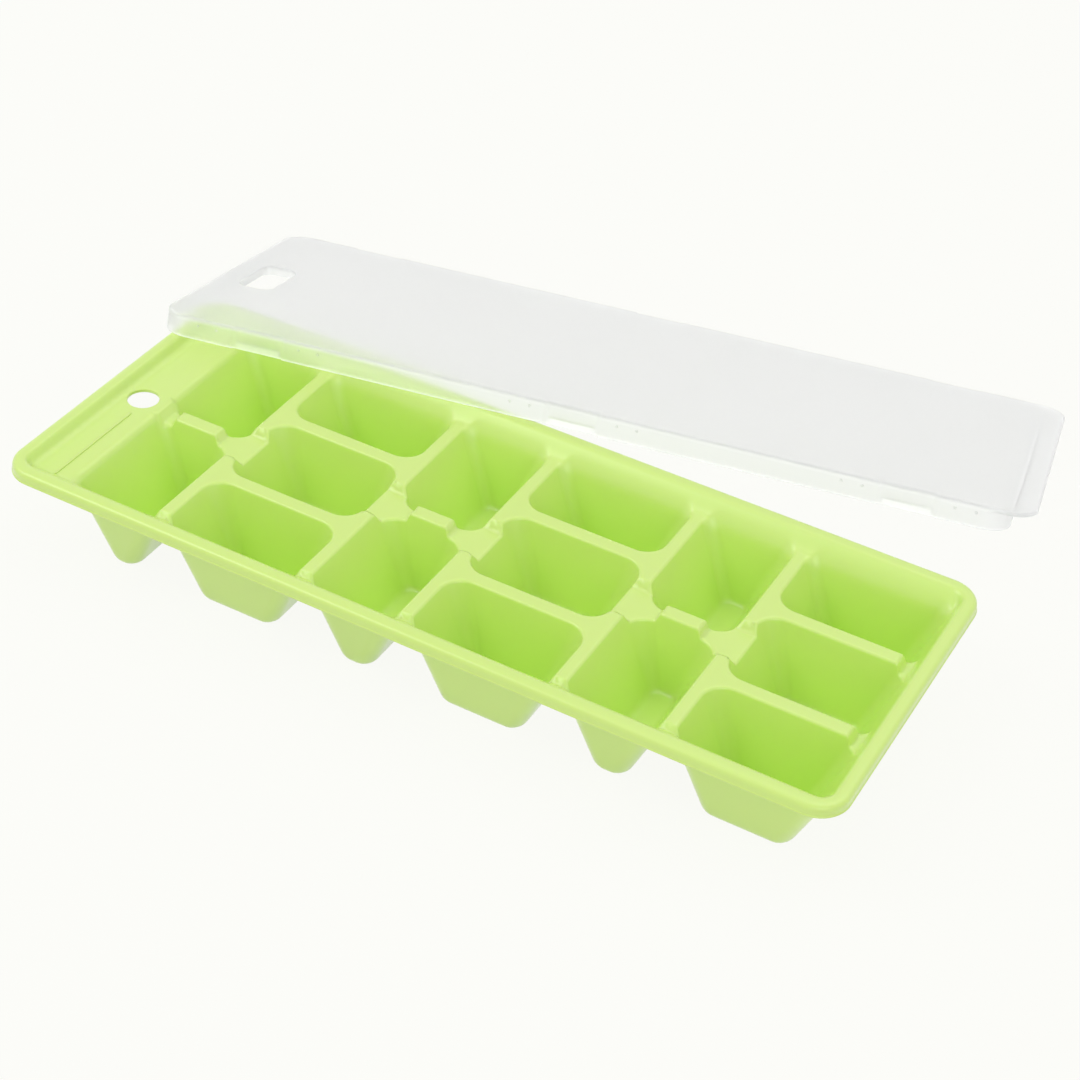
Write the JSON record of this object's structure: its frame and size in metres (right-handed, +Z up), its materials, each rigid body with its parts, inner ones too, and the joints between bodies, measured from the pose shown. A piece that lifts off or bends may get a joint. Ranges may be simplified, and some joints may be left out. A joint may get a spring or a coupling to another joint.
{
  "type": "ice cube tray with clip-on lid",
  "caption": "Lime green moulded ice cube tray with a hanging ledge, and its frosted clip-on lid taken off and leaning askew on the tray's long edge.",
  "frame": {"origin": "centre of the flat base of the middle cup in the fourth row from the ledge, on the surface that the tray stands on", "axes": "+X along the tray away from its hanging ledge, +Y across it towards the side that the lid leans on, +Z up"},
  "size_m": [0.2968, 0.2435, 0.0391],
  "materials": {
    "tray_plastic": "satin lime green polypropylene",
    "lid_plastic": "frosted translucent polypropylene"
  },
  "bodies": {
    "tray": {"tray": "tray_plastic"},
    "lid": {"lid": "lid_plastic"}
  },
  "joints": [
    {"name": "lid_lift", "type": "slide", "parent": "tray", "child": "lid", "axis": [0, 0, 1], "range_m": [0, 0.1]}
  ]
}
